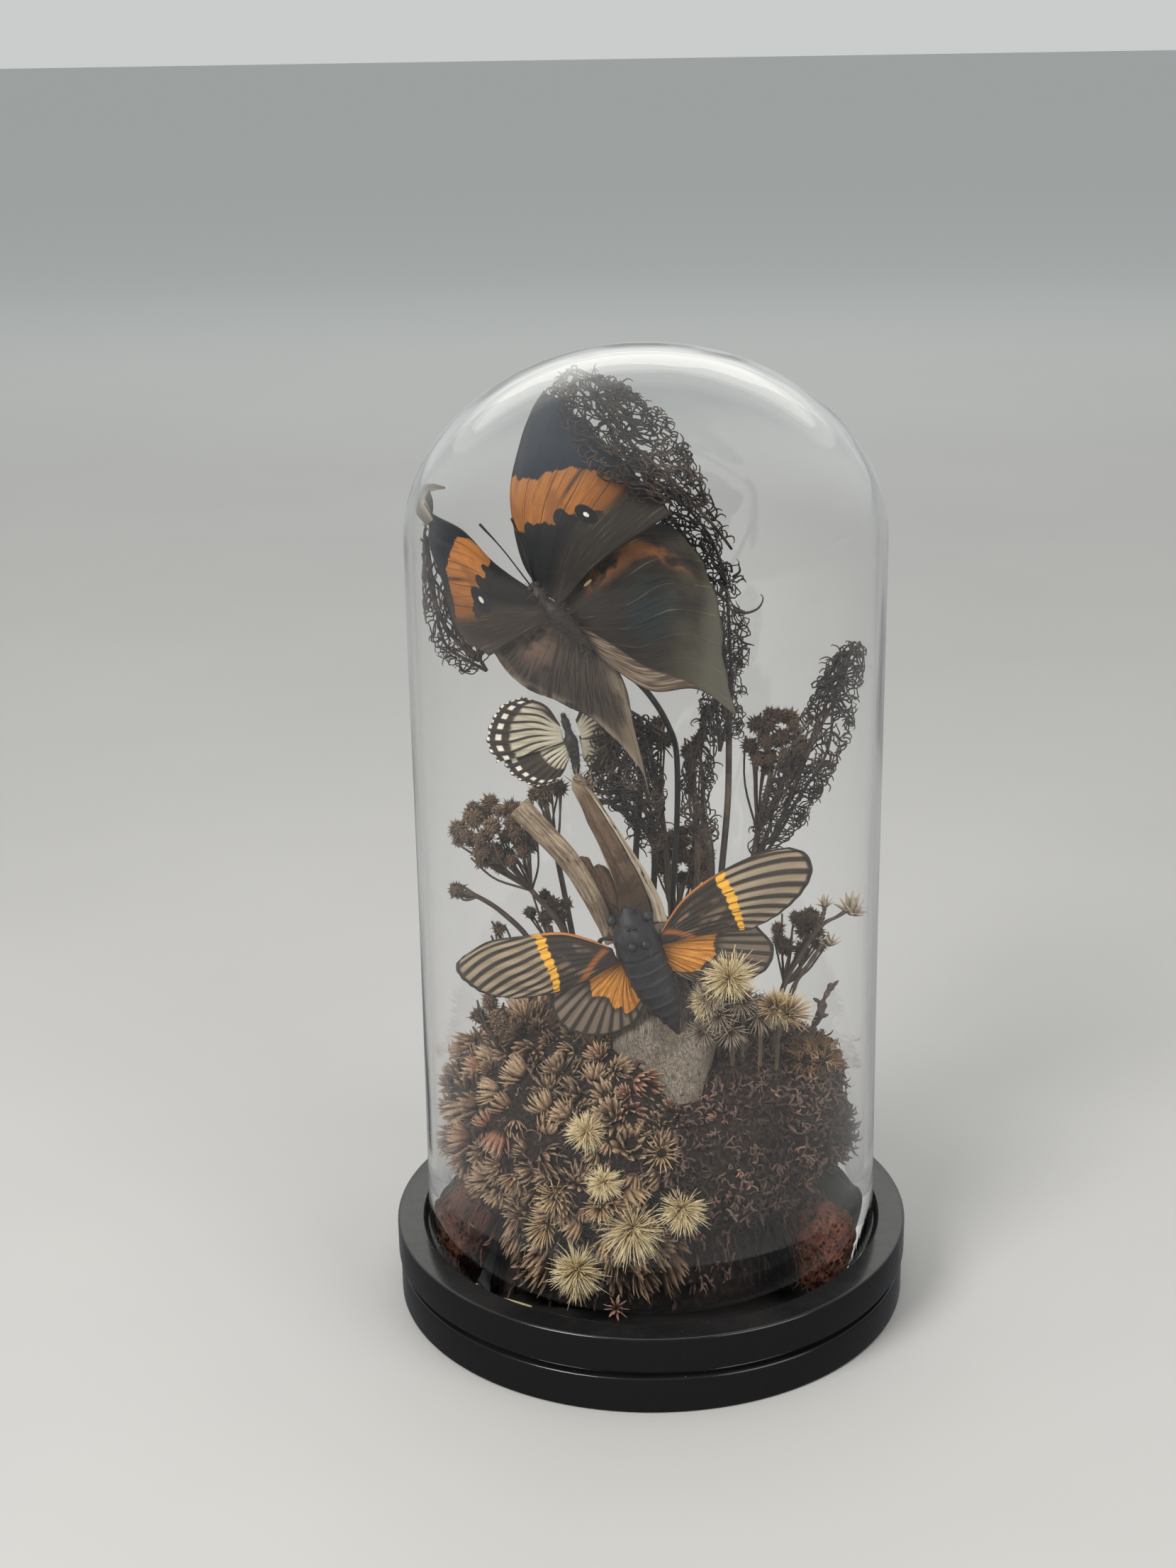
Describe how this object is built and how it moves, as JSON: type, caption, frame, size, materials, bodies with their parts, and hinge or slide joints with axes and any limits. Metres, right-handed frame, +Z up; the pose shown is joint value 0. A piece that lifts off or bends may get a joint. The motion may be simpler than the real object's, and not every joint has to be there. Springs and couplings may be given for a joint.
{
  "type": "insect in glass dome",
  "caption": "Tall clear glass dome on a black grooved round base, holding mounted butterflies and a cicada on driftwood among dried flowers, lace plumes and moss.",
  "frame": {"origin": "bottom centre of the base, on the surface it stands on", "axes": "+Z up along the dome's axis, -Y towards the viewer (the front), +X to the viewer's right"},
  "size_m": [0.13, 0.13, 0.2397],
  "materials": {
    "base": "black lacquer, satin to gloss",
    "glass": "clear blown glass",
    "driftwood": "bare weathered grain",
    "insect_body": "black, dry, slightly shiny",
    "cicada_forewing": "tan panels, black veins, yellow band",
    "cicada_hindwing": "orange at the base, striped outside",
    "wire": "black",
    "leaf_wing": "dark brown to blue-black, orange band",
    "white_wing": "cream cells, black veins and margin",
    "lace_plume": "matt, near black",
    "yarrow": "dry, matt",
    "star_seed": "dry, matt",
    "seed_puff": "soft, matt",
    "red_rock": "rough, porous",
    "rust_moss": "dry, matt",
    "pink_flower": "dry, matt",
    "straw": "dry",
    "dried_flowers": "dry, matt",
    "curly_moss": "dry, matt"
  },
  "bodies": {
    "root": {"base_lower": "base", "base_upper": "base", "glass_dome": "glass", "wood_trunk": "driftwood", "wood_prong_left": "driftwood", "wood_prong_right": "driftwood", "wood_web": "driftwood", "cicada_body": "insect_body", "cicada_fore_right": "cicada_forewing", "cicada_hind_right": "cicada_hindwing", "cicada_fore_left": "cicada_forewing", "cicada_hind_left": "cicada_hindwing", "leaf_body": "insect_body", "leaf_fore_left": "leaf_wing", "leaf_fore_right": "leaf_wing", "leaf_hind_left": "leaf_wing", "leaf_hind_right": "leaf_wing", "leaf_wire": "wire", "white_body": "insect_body", "white_fore_left": "white_wing", "white_hind_left": "white_wing", "white_fore_right": "white_wing", "white_hind_right": "white_wing", "plume_back": "lace_plume", "plume_left": "lace_plume", "plume_centre": "lace_plume", "plume_right": "lace_plume", "plume_hanging": "lace_plume", "yarrow_left": "yarrow", "yarrow_left_small": "yarrow", "yarrow_left_low": "yarrow", "yarrow_left_dark": "yarrow", "yarrow_back_left": "yarrow", "yarrow_centre": "yarrow", "yarrow_centre_back": "yarrow", "yarrow_right": "yarrow", "yarrow_middle": "yarrow", "yarrow_low_right": "yarrow", "yarrow_low_left": "yarrow", "star_twig": "star_seed", "knob_twig": "lace_plume", "puff_high_right": "seed_puff", "puff_high_low": "seed_puff", "puff_high_outer": "seed_puff", "puff_front_big": "seed_puff", "puff_front_right": "seed_puff", "puff_front_low": "seed_puff", "puff_upper_left": "seed_puff", "puff_middle": "seed_puff", "rock_right": "red_rock", "rock_left": "red_rock", "rust_moss": "rust_moss", "pink_star": "pink_flower", "straw_front": "straw", "straw_side": "straw", "mound_flowers": "dried_flowers", "mound_moss": "curly_moss"}
  },
  "joints": []
}
